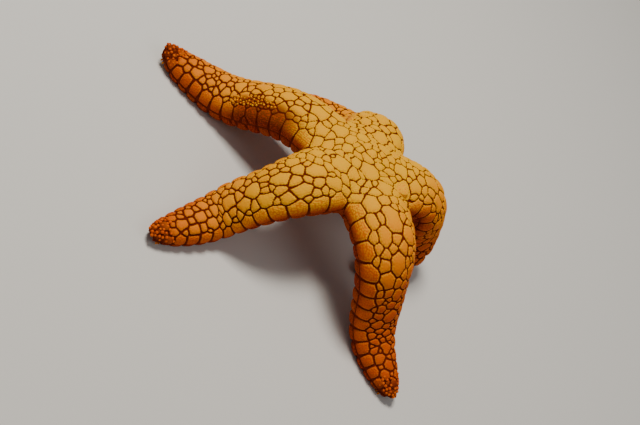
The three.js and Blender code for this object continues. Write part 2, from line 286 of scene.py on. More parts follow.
# ---------------------------------------------------------------- the plates
FIELD, SUPERO, INFERO, UNDER, SIEVE_SEAT = range(5)
MARGINAL_ROWS = (   # row, angle round the arm, radius as a share of the plates' spacing
    (SUPERO, math.radians(20), 0.46), (INFERO, math.radians(-38), 0.42),
)
LARGE = {   # the large plates of an arm: pairs are on the disc and at the tip
    "from": 6.4, "pitch": (5.3, 2.7), "radius": (1.45, 0.72), "stretch": 1.1, "stop": 1.8,
    "aside": math.radians(30), "aside_share": 0.8, "aside_stretch": 1.05, "aside_stop": 2.4,
}
TOP_SCATTER = {   # the smaller plates thrown over the top
    "above": True, "tries": 3000, "radius": (0.85, 0.40), "stretch": 1.8, "edge": math.radians(37),
}
UNDER_SCATTER = {   # and over the underside
    "above": False, "tries": 1500, "radius": (0.62, 0.40), "stretch": 1.0, "edge": math.radians(28),
}
ARM_STRETCH = 1.35              # of the thrown plates out along the arms
ELBOW_ROOM = 1.13               # between them, as a share of their radius
SPINE_PLATE = 0.42
DISC_PLATES = (   # distance from the centre, bearing from arm a in degrees, radius, stretch across
    (0.0, 0, 0.8, 1.0), (3.7, 119, 1.35, 1.0), (4.4, 2, 1.0, 1.4), (3.9, 78, 0.7, 1.6),
    (4.0, 325, 1.0, 1.1), (3.6, 262, 0.9, 1.3), (5.2, 160, 0.75, 1.7), (5.6, 208, 1.15, 1.1),
    (4.2, 38, 0.85, 1.2), (6.3, 96, 0.95, 1.2), (2.6, 200, 0.7, 1.2),
)
PATCH = {"sector": 0, "along": 20.3, "across": 3.6, "length": 5.2, "width": 1.9}
PATCH_PLATE = 0.24
SHADE = {"along": 18.0, "across": 4.9, "length": 9.5, "width": 3.0}   # painted shade round it: the shaded flank below the patch, darkened dark red
SHADED_BEARING = 2 * SECTOR * 2.4       # painted shade: the colour deepens towards this bearing, between arms c and d
CELL = 4                        # nearest plates are looked up for points sorted into such squares,
BLOCK = 1200                    # this many at a time,
SEARCH = 4.5                    # among plates this near


class Plates:
    """Seeds of the plates of the whole flat star. A plate is all that lies nearest its seed."""

    def __init__(self):
        self.random = np.random.default_rng(40)
        self.at = np.zeros((0, 3))
        self.axis = np.zeros((0, 3))
        self.radius = np.zeros(0)
        self.stretch = np.zeros(0)
        self.row = np.zeros(0)

    def add(self, sector, point, radius, stretch=1.0, row=FIELD):
        self.at = np.vstack([self.at, turned(np.asarray(point, float), sector)])
        self.axis = np.vstack([self.axis, direction(2 * SECTOR * sector)])
        self.radius = np.append(self.radius, radius)
        self.stretch = np.append(self.stretch, stretch)
        self.row = np.append(self.row, row)

    def wobble(self, amount):
        return float(self.random.uniform(-amount, amount))

    def room(self, points):
        """How far each flat point is from the plates there are so far."""
        gap = np.linalg.norm(points[:, None] - self.at[None], axis=2) - self.radius[None]
        return gap.min(1)

    def add_disc(self):
        for distance, bearing, radius, stretch in DISC_PLATES:
            sector = round(bearing / 72) % 5
            turn = math.radians(bearing) - 2 * SECTOR * sector
            x, y = distance * math.cos(turn), distance * math.sin(turn)
            self.add(sector, (x, y, float(top_height(x, y))), radius, stretch)
        x, y = SIEVE["distance"] * math.cos(SECTOR), SIEVE["distance"] * math.sin(SECTOR)
        seat = (x, y, float(top_height(x, y)))
        self.add(SIEVE["after_arm"], seat, SIEVE["radius"] + 0.1, row=SIEVE_SEAT)

    def add_marginals(self, sector):
        """Two rows along each side of the arm, the plates of one under those of the other."""
        for plate in range(MARGINALS):
            along = float(plate_along(plate + 0.5))
            pitch = float(plate_along(plate + 1) - plate_along(plate))
            for left in (False, True):
                shift = self.wobble(0.05) * pitch
                for row, angle, share in MARGINAL_ROWS:
                    across = math.pi - angle if left else angle
                    self.add(sector, ring_point(along + shift, across), share * pitch, row=row)

    def add_large(self, sector):
        """A row of large plates along the arm's middle, and one on each side of it."""
        along = LARGE["from"] + self.wobble(0.7)
        while along < REACH - LARGE["stop"]:
            u = along / REACH
            pitch = mix(*LARGE["pitch"], u)
            size = mix(*LARGE["radius"], u) * (1 + self.wobble(0.12))
            middle = ring_point(along, math.pi / 2 + self.wobble(0.12))
            if self.room(turned(middle, sector)[None])[0] > 0.6 * size:
                self.add(sector, middle, size, LARGE["stretch"])
            beside = along + 0.5 * pitch
            for side in (1, -1):
                angle = math.pi / 2 - side * (LARGE["aside"] + self.wobble(0.06))
                if NOTCH - 1 < beside < REACH - LARGE["aside_stop"]:
                    point = ring_point(beside + self.wobble(0.4), angle)
                    share = LARGE["aside_share"] + self.wobble(0.18)
                    self.add(sector, point, size * share, LARGE["aside_stretch"])
            along += pitch * (1 + self.wobble(0.08))

    def add_beside_groove(self, sector):
        """The plates that carry the groove's spines."""
        for along in SPINE_PLATES:
            for side in (1, -1):
                across = side * groove_edge(along)
                seat = (along, across, float(under_height(along, across)))
                self.add(sector, seat, SPINE_PLATE, row=UNDER)

    def scatter(self, sector, fill):
        """Smaller plates thrown into the room that is left, the larger of them first."""
        above, stretch = fill["above"], fill["stretch"]
        along = self.random.uniform(0.3, REACH - 0.4, fill["tries"])
        inner = fill["edge"] * ease((along - NOTCH + 2.5) / 2.5)
        angle = self.random.uniform(inner, math.pi - inner)
        points = ring_point(along, angle if above else -angle)
        shrinking = np.linspace(0, 1, fill["tries"]) ** 0.8
        size = mix(*fill["radius"], shrinking) * (1 - 0.3 * along / REACH)
        for point, radius in zip(points, size):
            if self.room(turned(point, sector)[None])[0] > ELBOW_ROOM * radius:
                longer = mix(stretch, ARM_STRETCH, ease((point[0] - 6) / 12)) if above else stretch
                self.add(sector, point, radius * (0.9 + self.wobble(0.2)), longer)

    def scatter_patch(self):
        """The small plates of the dark patch."""
        for _ in range(400):
            along = PATCH["along"] + self.wobble(PATCH["length"])
            across = PATCH["across"] + self.wobble(PATCH["width"])
            point = np.array([along, across, float(top_height(along, across))])
            if inside(PATCH, point) > 0.3 and self.room(point[None])[0] > 1.1 * PATCH_PLATE:
                self.add(PATCH["sector"], point, PATCH_PLATE)


def inside(oval, own):
    """1 in the middle of an oval, 0 outside it and on the underside, for points of its arm."""
    along = (own[..., 0] - oval["along"]) / oval["length"]
    across = (own[..., 1] - oval["across"]) / oval["width"]
    return ease(1.6 * (1 - np.hypot(along, across))) * ease((own[..., 2] + 2) / 2)


def groove_edge(along):
    return 1.62 - 0.4 * along / REACH


SPINE_PLATES = np.arange(3.4, REACH - 1.2, 1.05)


def all_plates():
    plates = Plates()
    plates.add_disc()
    for sector in range(5):
        plates.add_marginals(sector)
        plates.add_large(sector)
        plates.add_beside_groove(sector)
    plates.scatter_patch()
    for sector in range(5):
        plates.scatter(sector, TOP_SCATTER)
        plates.scatter(sector, UNDER_SCATTER)
    return plates


def nearest_plates(points, plates):
    """For each flat point: its plate, and its distance in from that plate's border."""
    owner = np.zeros(len(points), int)
    inward = np.zeros(len(points))
    order = np.argsort(points[:, 0] // CELL * 1000 + points[:, 1] // CELL, kind="stable")
    for block in np.array_split(order, max(1, len(points) // BLOCK)):
        low, high = points[block].min(0) - SEARCH, points[block].max(0) + SEARCH
        near = np.nonzero(np.all((plates.at > low) & (plates.at < high), axis=1))[0]
        gap = points[block][:, None] - plates.at[near][None]
        along = np.einsum("ijk,jk->ij", gap, plates.axis[near])
        stretch = plates.stretch[near]
        squared = (gap ** 2).sum(2) / stretch + along ** 2 * (stretch - 1 / stretch)
        distance = np.sqrt(squared) - plates.radius[near]
        pair = np.argpartition(distance, 1, axis=1)[:, :2]
        two = np.take_along_axis(distance, pair, 1)
        first = np.argmin(two, axis=1)
        owner[block] = near[pair[np.arange(len(block)), first]]
        inward[block] = np.abs(two[:, 1] - two[:, 0]) / 2
    return owner, inward


# ---------------------------------------------------------------- the skin
def skin_rows():
    disc = np.linspace(0, NOTCH, int(NOTCH / ROW_STEP) + 1)
    arm = np.linspace(NOTCH, REACH - BLUNT_END, int((REACH - BLUNT_END - NOTCH) / ROW_STEP) + 1)
    end = REACH - BLUNT_END + BLUNT_END * np.sin(np.linspace(0, math.pi / 2, BLUNT_ROWS + 1))
    return np.concatenate([disc, arm[1:], end[1:]])


def skin_grids():
    """The flat skin as ten grids of points, the top and the underside of each sector."""
    along = skin_rows()
    spans = (("top", 0, math.pi, TOP_COLUMNS), ("under", 0, math.pi, UNDER_COLUMNS))
    grids = []
    for sector in range(5):
        for side, start, end, columns in spans:
            angle = np.linspace(start, end, columns + 1)
            across = edge(along)[:, None] * np.cos(angle)[None]
            across[-1] = 0
            rows = np.broadcast_to(along[:, None], across.shape)
            height = top_height(rows, across) if side == "top" else under_height(rows, across)
            height[-1] = 0
            grids.append({"sector": sector, "side": side,
                          "own": np.stack([rows, across, height], -1)})
    return grids


def weld(points, step=1e-3):
    """Indices that give points at one place one number, and the first of each."""
    keys = np.round(points / step).astype(np.int64)
    _, first, number = np.unique(keys, axis=0, return_index=True, return_inverse=True)
    return first, number.reshape(-1)


def grid_faces(number, shape, flip):
    """Quads of a grid by point number, as rows of four."""
    index = number.reshape(shape)
    a, b = index[:-1, :-1].ravel(), index[1:, :-1].ravel()
    c, d = index[1:, 1:].ravel(), index[:-1, 1:].ravel()
    return np.stack([a, d, c, b] if flip else [a, b, c, d], -1)


def bake_place(grids):
    """Each grid's place on the OFBake map: five tops over five undersides, along each arm."""
    places = []
    for grid in grids:
        own = grid["own"]
        steps = np.linalg.norm(np.diff(own, axis=1), axis=2)
        girth = np.concatenate([np.zeros((len(own), 1)), np.cumsum(steps, axis=1)], axis=1)
        girth -= girth[:, -1:] / 2
        row = 0 if grid["side"] == "top" else 1
        u = (grid["sector"] + 0.5) / 5 + girth / MAP_WIDTH
        v = row * 0.5 + 0.01 + own[..., 0] / MAP_HEIGHT
        places.append(np.stack([u, v], -1).reshape(-1, 2))
    return np.concatenate(places)


def mesh_from(name, points, faces, uv=None):
    """A smooth mesh in metres. faces is an array of quads, where a repeated corner is dropped."""
    keep = faces != np.roll(faces, -1, axis=1)
    sizes = keep.sum(1)
    whole = sizes > 2
    keep &= whole[:, None]
    sizes = sizes[whole]
    corners = faces[keep]
    mesh = bpy.data.meshes.new(name)
    mesh.vertices.add(len(points))
    mesh.vertices.foreach_set("co", (points * MM).astype(np.float32).ravel())
    mesh.loops.add(len(corners))
    mesh.loops.foreach_set("vertex_index", corners.astype(np.int32))
    mesh.polygons.add(len(sizes))
    starts = np.concatenate([[0], np.cumsum(sizes)[:-1]])
    mesh.polygons.foreach_set("loop_start", starts.astype(np.int32))
    mesh.polygons.foreach_set("loop_total", sizes.astype(np.int32))
    if uv is not None:
        layer = mesh.uv_layers.new(name="OFBake")
        layer.uv.foreach_set("vector", uv[keep].astype(np.float32).ravel())
    mesh.update(calc_edges=True)
    mesh.validate()
    mesh.shade_smooth()
    piece = bpy.data.objects.new(name, mesh)
    bpy.context.collection.objects.link(piece)
    return piece


def set_values(piece, values):
    """Gives each point of a piece the named numbers that its material reads."""
    for name, value in values.items():
        layer = piece.data.attributes.new(name, "FLOAT", "POINT")
        layer.data.foreach_set("value", value.astype(np.float32))


def normals_of(points, faces):
    across = points[faces[:, 2]] - points[faces[:, 0]]
    other = points[faces[:, 3]] - points[faces[:, 1]]
    area = np.cross(across, other)
    total = np.zeros_like(points)
    for i in range(3):
        for corner in range(4):
            total[:, i] += np.bincount(faces[:, corner], area[:, i], len(points))
    return total / np.maximum(np.linalg.norm(total, axis=1, keepdims=True), 1e-12)


def slow_waves(points, wavelength, seed):
    """A smooth irregular value from -1 to 1 at each point."""
    random = np.random.default_rng(seed)
    total = 0
    for _ in range(7):
        way = random.normal(size=3)
        way /= np.linalg.norm(way)
        pitch = wavelength * random.uniform(0.7, 1.5)
        total = total + np.sin(points @ way * (2 * math.pi / pitch) + random.uniform(0, 6.3))
    return total / 7 * 1.6


def make_skin(plates):
    grids = skin_grids()
    own = np.concatenate([g["own"].reshape(-1, 3) for g in grids])
    sector = np.concatenate([np.full(g["own"][..., 0].size, g["sector"]) for g in grids])
    flat = np.concatenate([turned(g["own"], g["sector"]).reshape(-1, 3) for g in grids])
    posed = np.concatenate([pose(g["sector"], g["own"]).reshape(-1, 3) for g in grids])
    first, number = weld(flat)
    corners, faces, begin = [], [], 0
    for grid in grids:
        shape = grid["own"].shape[:2]
        index = np.arange(begin, begin + shape[0] * shape[1])
        corners.append(grid_faces(index, shape, grid["side"] == "top"))
        begin += len(index)
    corners = np.concatenate(corners)
    faces = number[corners]
    uv = bake_place(grids)[corners]
    own, flat, posed = own[first], flat[first], posed[first]

    owner, inward = nearest_plates(flat, plates)
    size = np.zeros(len(plates.at))
    np.maximum.at(size, owner, inward)
    size = size[owner]
    row = plates.row[owner]
    reach = own[:, 0] / REACH
    line = np.interp(reach, LINE_REACH, LINE_WIDTH) * (1 + 0.2 * slow_waves(flat, 6, 3))
    line = line * np.where(row == UNDER, 0.5, mix(0.75, 1.2, np.clip(size / 1.2, 0, 1)))
    depth = np.clip(inward / np.maximum(size, 0.2), 0, 1)
    trench = 1 - ease(inward / (1.6 * line + 0.05))
    crown = (CROWN["least"] + CROWN["by_size"] * size) * (1 + CROWN["outwards"] * ease(reach))
    crown = np.where(row == SIEVE_SEAT, 0, crown * (1 - (1 - depth) ** CROWN["power"]))
    rise = crown - TRENCH * trench - INSET + UNEVEN * slow_waves(flat, 9, 8)
    points = posed + normals_of(posed, faces) * rise[:, None]
    points[:, 2] = np.maximum(points[:, 2], 0)

    skin = mesh_from("skin", points, faces, uv)
    marginal = (row == SUPERO) | (row == INFERO)
    tones = np.random.default_rng(5).random(len(plates.at))
    # The patch's own maroon ground, with painted shade over the shaded flank below it.
    patch_and_flank_shade = np.maximum(inside(PATCH, own), inside(SHADE, own))
    # Painted shade: deeper colour on the arms towards c and d.
    towards_shaded_arms = np.maximum(flat @ direction(SHADED_BEARING), 0) / REACH
    set_values(skin, {
        "line": inward - line, "depth": depth, "tone": tones[owner], "reach": reach,
        "small": np.clip(1.2 - size, 0, 1),
        # deeper orange towards the tips and on the marginals, their own colour, and painted shade
        # towards arms c and d
        "warmth_and_shade": reach + 1.15 * towards_shaded_arms + 0.18 * marginal,
        # deeper colour low on the body: partly the marginals' own colour, partly painted shade
        "lower_tone_and_shade": ease((2.3 - own[:, 2]) / 4.0),
        "grain": np.where(marginal, 1, ease(1 - inward / 0.7)),
        # the patch's own dark ground, and the painted shade on the flank below it
        "patch": np.where(sector[first] == PATCH["sector"], patch_and_flank_shade, 0),
    })
    layer = skin.data.attributes.new("flat", "FLOAT_VECTOR", "POINT")
    layer.data.foreach_set("vector", flat.astype(np.float32).ravel())
    return skin


# ---------------------------------------------------------------- studs, spines and feet
def studs(name, roots, tips, radii, profile, sides=8):
    """Round studs from roots to tips, joined. The profile gives shares of height and radius."""
    height, width = np.array(profile).T
    stem = tips - roots
    side = np.cross(stem, [0.36, 0.48, 0.8])
    side /= np.linalg.norm(side, axis=1, keepdims=True)
    other = np.cross(stem, side)
    other /= np.linalg.norm(other, axis=1, keepdims=True)
    turn = np.linspace(0, 2 * math.pi, sides + 1)
    spread = side[:, None] * np.cos(turn)[None, :, None] + other[:, None] * np.sin(turn)[None, :, None]
    points = roots[:, None, None] + stem[:, None, None] * height[None, :, None, None] \
        + spread[:, None] * (radii[:, None] * width[None])[:, :, None, None]
    count, rings = len(roots), len(profile)
    index = np.arange(count * rings * (sides + 1)).reshape(count, rings, sides + 1)
    corners = np.concatenate([grid_faces(one, one.shape, False) for one in index])
    across = math.ceil(math.sqrt(count))
    cell = np.arange(count)
    u = (cell % across)[:, None, None] + 0.1 + 0.8 * (turn / turn[-1])[None, None]
    v = (cell // across)[:, None, None] + 0.1 + 0.8 * np.linspace(0, 1, rings)[None, :, None]
    uv = np.stack(np.broadcast_arrays(u / across, v / across), -1).reshape(-1, 2)[corners]
    points = points.reshape(-1, 3)
    share = np.broadcast_to(np.linspace(0, 1, rings)[None, :, None], index.shape).ravel()
    tone = np.broadcast_to(np.random.default_rng(7).random(count)[:, None, None], index.shape).ravel()
    points[:, 2] = np.maximum(points[:, 2], 0.01)
    first, number = weld(points)
    piece = mesh_from(name, points[first], number[corners], uv)
    set_values(piece, {"share": share[first], "tone": tone[first]})
    return piece


def outward(along, angle):
    """The outward direction of the flat body at a point, by its slopes there."""
    slope = ring_point(along + 0.02, angle) - ring_point(along - 0.02, angle)
    girth = ring_point(along, angle + 0.02) - ring_point(along, angle - 0.02)
    normal = np.cross(girth, slope)
    normal /= np.linalg.norm(normal, axis=-1, keepdims=True)
    flipped = np.sum(normal * ring_point(along, angle) * [0, 1, 1], axis=-1, keepdims=True) < 0
    return np.where(flipped, -normal, normal)


# Profiles: pairs of a height along the stud and a width there, as shares of its own.
DOME = ((0, 1), (0.55, 1), (0.75, 0.88), (0.9, 0.6), (1, 0))
SPINE = ((0, 1), (0.5, 0.95), (0.8, 0.8), (0.94, 0.55), (1, 0))
FOOT = ((0, 0.8), (0.15, 0.68), (0.3, 0.74), (0.45, 0.62), (0.62, 0.66), (0.75, 0.58), (0.82, 0.9),
        (0.95, 1), (1, 0.7), (0.96, 0.3), (0.95, 0))

TIP_KNOB = {"gap": 0.5, "radius": 0.27, "height": 0.30}
TIP_AREA = {"end": 0.10, "length": 3.4, "crowding": 1.25, "angles": (8, 172)}
PATCH_GRANULE = {"gap": 0.42, "radius": 0.18, "height": 0.24}
KNOB_TRIES = 260
BURIED = 0.35                   # how deep knobs are rooted below the plates' borders
GROOVE_SPINES = (   # inset from the plate's middle, lean away from the groove, length down
    (0.42, -0.55, 0.42), (-0.1, 0.12, 0.55),
)
SPINE_SHIFTS = (-0.24, 0.24)
SPINE_RADIUS = 0.16
FEET = {"from": 3.3, "stop": 2, "spacing": 0.8, "stagger": 0.2, "across": 0.40,
        "length": 0.95, "radius": (0.30, 0.18)}
JAW = {"spines": 8, "root": (3.3, -0.5), "tip": (1.5, 0.25), "fan": math.radians(17),
       "splay": math.radians(5), "rooted": 0.35, "drop": 0.25, "radius": 0.24}


def spaced(random, tries, draw, gap):
    """Points drawn one after another, leaving out those closer than gap to an earlier one."""
    kept = []
    places = []
    for _ in range(tries):
        along, angle = draw(random)
        point = ring_point(along, angle)
        if all(np.linalg.norm(point - place) > gap for place in places):
            places.append(point)
            kept.append((along, angle))
    return np.array(kept).T


def make_knobs(name, sectors, draw, knob):
    """Domes standing on the skin, at places drawn for each sector."""
    random = np.random.default_rng(11)
    roots, tips = [], []
    for sector in sectors:
        along, angle = spaced(random, KNOB_TRIES, draw, knob["gap"])
        point, normal = ring_point(along, angle), outward(along, angle)
        roots.append(pose(sector, point - normal * (INSET + BURIED)))
        tips.append(pose(sector, point + normal * (knob["height"] - INSET)))
    roots = np.concatenate(roots)
    radii = knob["radius"] * random.uniform(0.75, 1.15, len(roots))
    return studs(name, roots, np.concatenate(tips), radii, DOME)


def tip_draw(random):
    back = TIP_AREA["length"] * random.random() ** TIP_AREA["crowding"]
    return REACH - TIP_AREA["end"] - back, math.radians(random.uniform(*TIP_AREA["angles"]))


def patch_draw(random):
    along = PATCH["along"] + PATCH["length"] * random.uniform(-0.85, 0.85)
    across = PATCH["across"] + PATCH["width"] * random.uniform(-0.6, 0.15)
    return along, math.acos(across / float(edge(along)))


def make_spines():
    """Blunt spines on each plate beside the grooves, the inner ones leaning over the groove."""
    roots, tips = [], []
    for sector in range(5):
        for side in (1, -1):
            for inset, lean, down in GROOVE_SPINES:
                for shift in SPINE_SHIFTS:
                    along = SPINE_PLATES + shift
                    across = groove_edge(along) - inset
                    base = np.stack([along, side * across, under_height(along, side * across)], -1)
                    size = 1 - 0.4 * (along / REACH)[:, None]
                    roots.append(pose(sector, base + [0, 0, 0.3]))
                    tips.append(pose(sector, base + np.array([0, side * lean, -down]) * size))
    roots = np.concatenate(roots)
    radii = np.full(len(roots), SPINE_RADIUS)
    return studs("groove_spines", roots, np.concatenate(tips), radii, SPINE)


def make_feet():
    """Two rows of tube feet along each groove, drawn in."""
    roots, tips = [], []
    for sector in range(5):
        for side in (1, -1):
            along = np.arange(FEET["from"], REACH - FEET["stop"], FEET["spacing"])
            along = along + FEET["stagger"] * side
            across = np.full_like(along, side * FEET["across"])
            base = np.stack([along, across, under_height(along, across)], -1)
            size = (0.95 - 0.4 * along / REACH)[:, None]
            roots.append(pose(sector, base + [0, 0, 0.25]))
            tips.append(pose(sector, base + np.array([0, 0.05 * side, -FEET["length"]]) * size))
    rows = len(roots)
    roots = np.concatenate(roots)
    radii = np.linspace(*FEET["radius"], len(roots) // rows)
    return studs("tube_feet", roots, np.concatenate(tips), np.tile(radii, rows), FOOT, 10)


def make_jaws():
    """Five pairs of jaws, each a fan of spines pointing at the mouth from between two grooves."""
    roots, tips = [], []
    for corner in range(5):
        for spine in np.linspace(-1, 1, JAW["spines"]):
            bearing = SECTOR + JAW["fan"] * spine
            root = direction(bearing) * (JAW["root"][0] + JAW["root"][1] * abs(spine))
            tip = direction(bearing + JAW["splay"] * spine)
            tip = tip * (JAW["tip"][0] + JAW["tip"][1] * abs(spine))
            depth = float(under_height(root[0], root[1]))
            roots.append(turned(root + [0, 0, depth + JAW["rooted"]], corner))
            tips.append(turned(tip + [0, 0, depth - JAW["drop"]], corner))
    radii = np.full(len(roots), JAW["radius"])
    return studs("jaw_spines", pose(0, np.array(roots)), pose(0, np.array(tips)), radii, SPINE)


DISH_RINGS, DISH_SIDES = 48, 144
SIEVE_CHANNELS, CHANNEL_DEPTH = 11, 0.07
LIP_FOLDS, LIP_RADIUS = 15, 1.5


def dish(name, sector, centre, radius, height_at):
    """A round piece of the disc, from a formula for its height."""
    share = np.linspace(0, 1, DISH_RINGS)[:, None]
    turn = np.linspace(0, 2 * math.pi, DISH_SIDES + 1)[None]
    x, y = share * radius * np.cos(turn), share * radius * np.sin(turn)
    flat = np.stack([centre[0] + x, centre[1] + y, centre[2] + height_at(share, turn)], -1)
    corners = grid_faces(np.arange(flat[..., 0].size), flat.shape[:2], False)
    uv = np.stack([0.5 + 0.48 * x / radius, 0.5 + 0.48 * y / radius], -1).reshape(-1, 2)[corners]
    points = pose(sector, flat).reshape(-1, 3)
    first, number = weld(points)
    return mesh_from(name, points[first], number[corners], uv)


def make_sieve():
    """The sieve plate: a low dome with winding channels that fork towards its rim."""
    along, across = SIEVE["distance"] * math.cos(SECTOR), SIEVE["distance"] * math.sin(SECTOR)
    seat = float(top_height(along, across)) - SIEVE["seated"]

    def height_at(share, turn):
        dome = SIEVE["height"] * np.sqrt(np.maximum(1 - share ** 2.6, 0))
        rim = 0.5 * ease((share - 0.93) / 0.07)
        winding = 0.5 * np.sin(7 * share + 3 * np.sin(turn))
        inner = np.sin(SIEVE_CHANNELS * turn + winding * 3)
        outer = np.sin(2 * SIEVE_CHANNELS * turn + winding * 5)
        channels = ease(mix(inner, outer, ease(share * 2 - 0.7)))
        return dome - rim - CHANNEL_DEPTH * channels * ease(share * 4 - 0.6) * ease((1 - share) * 8)

    return dish("sieve_plate", SIEVE["after_arm"], (along, across, seat), SIEVE["radius"], height_at)


def make_mouth():
    """The closed mouth: a puckered lip around its centre."""
    ceiling = float(under_height(0, 0))

    def height_at(share, turn):
        lip = 0.5 * np.sin(math.pi * np.clip(share * 1.1, 0, 1)) ** 2
        return 0.25 - lip - 0.09 * np.sin(LIP_FOLDS * turn) * np.sin(math.pi * share)

    piece = dish("mouth", 0, (0, 0, ceiling), LIP_RADIUS, height_at)
    piece.data.flip_normals()
    return piece


# ---------------------------------------------------------------- materials
def colour(red, green, blue):
    """A linear colour as shaders take it."""
    return (red, green, blue, 1.0)


YELLOW = colour(1.0, 0.48, 0.0)
ORANGE = colour(0.97, 0.26, 0.0)
DEEP = colour(0.62, 0.075, 0.0)
LOW = colour(0.26, 0.018, 0.0)
PALE = colour(1.0, 0.54, 0.0)
MAROON = colour(0.14, 0.012, 0.0)
# The patch's own maroon ground, also used as painted shade on the flank below it.
PATCH_GROUND_AND_SHADE = colour(0.17, 0.010, 0.0)
TIP_RED = colour(0.85, 0.15, 0.0)
FOOT_END = colour(0.80, 0.50, 0.22)
SIEVE_DARK = colour(0.97, 0.36, 0.0)
SIEVE_LIGHT = colour(1.0, 0.50, 0.01)
# Painted shade in the sieve plate's channels.
SIEVE_CHANNEL_SHADE = colour(0.3, 0.05, 0.0)
FLOOR_GREY = colour(0.76, 0.74, 0.70)
SKY = colour(0.96, 0.97, 1.0)
SKY_STRENGTH = 0.14
GRANULES_PER_MM = 2.9
SOFT_DEPTH = 0.6                # how deep light spreads under the surface
SOFT_COLOURS = (1.0, 0.35, 0.1)


class Shader:
    """Short calls for building one material's nodes."""

    def __init__(self, name):
        self.material = bpy.data.materials.new(name)
        self.material.use_nodes = True
        self.tree = self.material.node_tree
        self.surface = self.tree.nodes["Principled BSDF"]

    def node(self, kind, **settings):
        node = self.tree.nodes.new(kind)
        for key, value in settings.items():
            setattr(node, key, value)
        return node

    def plug(self, source, socket):
        if isinstance(source, bpy.types.NodeSocket):
            self.tree.links.new(source, socket)
        else:
            socket.default_value = source

    def attribute(self, name, output="Fac"):
        return self.node("ShaderNodeAttribute", attribute_name=name).outputs[output]

    def math(self, operation, *terms):
        node = self.node("ShaderNodeMath", operation=operation)
        for source, socket in zip(terms, node.inputs):
            self.plug(source, socket)
        return node.outputs[0]

    def times(self, first, *others):
        for other in others:
            first = self.math("MULTIPLY", first, other)
        return first

    def span(self, value, low, high, to_low=0.0, to_high=1.0):
        """A smooth step from to_low, where the value is low, to to_high, where it is high."""
        node = self.node("ShaderNodeMapRange", interpolation_type="SMOOTHSTEP")
        for source, socket in zip((value, low, high, to_low, to_high), node.inputs):
            self.plug(source, socket)
        return node.outputs[0]

    def blend(self, factor, first, second):
        node = self.node("ShaderNodeMix", data_type="RGBA")
        self.plug(factor, node.inputs["Factor"])
        self.plug(first, node.inputs[6])
        self.plug(second, node.inputs[7])
        return node.outputs[2]

    def noise(self, vector, scale):
        node = self.node("ShaderNodeTexNoise")
        self.plug(vector, node.inputs["Vector"])
        node.inputs["Scale"].default_value = scale
        node.inputs["Detail"].default_value = 3.0
        return node.outputs["Fac"]

    def granules(self, per_mm):
        """Distance from the middle of round granules that pave the skin's own unrolled map."""
        stretch = self.node("ShaderNodeVectorMath", operation="MULTIPLY")
        self.plug(self.node("ShaderNodeUVMap", uv_map="OFBake").outputs[0], stretch.inputs[0])
        stretch.inputs[1].default_value = (MAP_WIDTH, MAP_HEIGHT, 1)
        node = self.node("ShaderNodeTexVoronoi", voronoi_dimensions="2D")
        self.plug(stretch.outputs[0], node.inputs["Vector"])
        node.inputs["Scale"].default_value = per_mm
        node.inputs["Randomness"].default_value = 0.7
        return node.outputs["Distance"]

    def bump(self, height, distance, strength):
        node = self.node("ShaderNodeBump")
        self.plug(height, node.inputs["Height"])
        node.inputs["Distance"].default_value = distance
        node.inputs["Strength"].default_value = strength
        self.plug(node.outputs[0], self.surface.inputs["Normal"])

    def finish(self, base, roughness, softness=0.0):
        self.plug(base, self.surface.inputs["Base Color"])
        self.plug(roughness, self.surface.inputs["Roughness"])
        self.surface.inputs["Subsurface Weight"].default_value = softness
        self.surface.inputs["Subsurface Radius"].default_value = SOFT_COLOURS
        self.surface.inputs["Subsurface Scale"].default_value = SOFT_DEPTH * MM
        self.surface.inputs["Specular IOR Level"].default_value = 0.05
        return self.material


